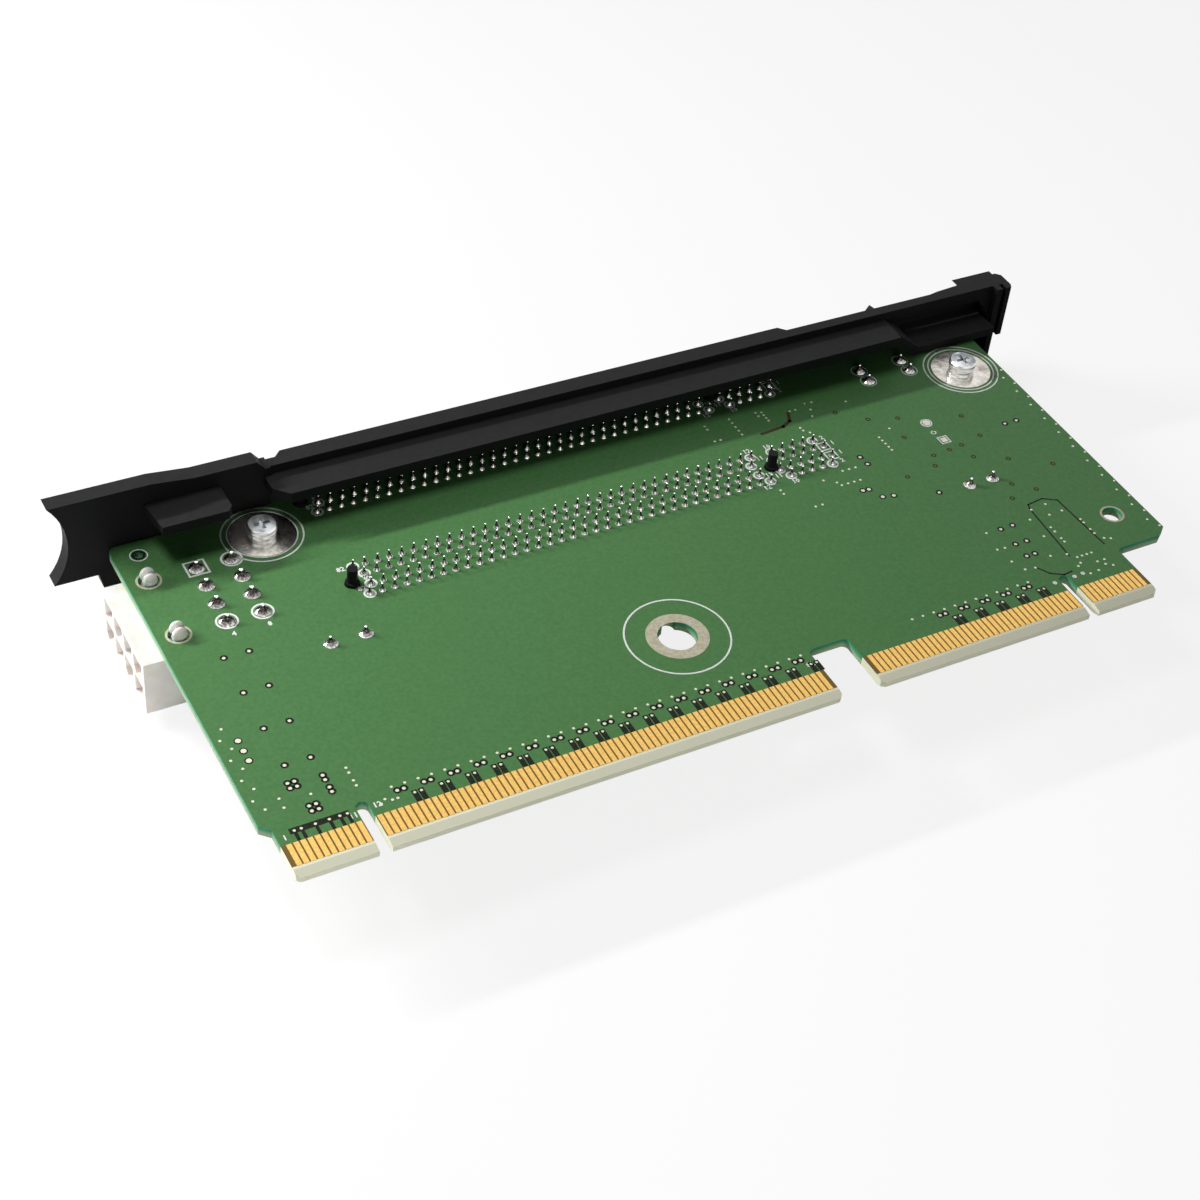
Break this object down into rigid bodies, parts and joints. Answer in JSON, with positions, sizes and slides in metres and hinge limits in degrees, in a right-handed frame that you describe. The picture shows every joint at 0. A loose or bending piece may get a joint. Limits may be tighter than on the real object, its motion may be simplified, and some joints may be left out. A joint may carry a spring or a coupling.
{
  "type": "pcie riser card",
  "caption": "Riser card: a circuit board with gold edge tongues, two card slots and a power header, held in a moulded bracket.",
  "frame": {"origin": "centre of the long edge tongue's key notch, at the tongue's tip, halfway through the board", "axes": "+X along the card towards the short tongue, +Y from the tongues to the bracket, +Z out of the solder face"},
  "size_m": [0.1738, 0.0774, 0.0226],
  "materials": {
    "solder_mask": "satin green solder mask over glass laminate",
    "gold": "bright gold plating",
    "black_housing": "matte black moulding",
    "solder": "bright solder",
    "ivory_plastic": "ivory nylon moulding",
    "tinned_pin": "tinned",
    "screw_steel": "bright zinc plating",
    "can_aluminium": "drawn aluminium",
    "seal_rubber": "black rubber",
    "block_epoxy": "dipped epoxy",
    "bracket_plastic": "fine grained black moulding"
  },
  "bodies": {
    "root": {"circuit_board": "solder_mask", "x16_fingers_solder_side": "gold", "x8_fingers_solder_side": "gold", "x16_fingers_component_side": "gold", "x8_fingers_component_side": "gold", "near_slot_housing": "black_housing", "far_slot_housing": "black_housing", "near_slot_front_contacts": "gold", "near_slot_rear_contacts": "gold", "far_slot_front_contacts": "gold", "far_slot_rear_contacts": "gold", "near_slot_solder_joints": "solder", "far_slot_solder_joints": "solder", "power_header_solder_joints": "solder", "capacitor_solder_joints": "solder", "power_header_housing": "ivory_plastic", "power_header_pins": "tinned_pin", "left_capacitor_leads": "tinned_pin", "right_capacitor_leads": "tinned_pin", "left_block_capacitor_leads": "tinned_pin", "right_block_capacitor_leads": "tinned_pin", "left_screw": "screw_steel", "right_screw": "screw_steel", "left_capacitor_can": "can_aluminium", "right_capacitor_can": "can_aluminium", "left_capacitor_seal": "seal_rubber", "right_capacitor_seal": "seal_rubber", "left_block_capacitor": "block_epoxy", "right_block_capacitor": "block_epoxy", "bracket": "bracket_plastic"}
  },
  "joints": []
}
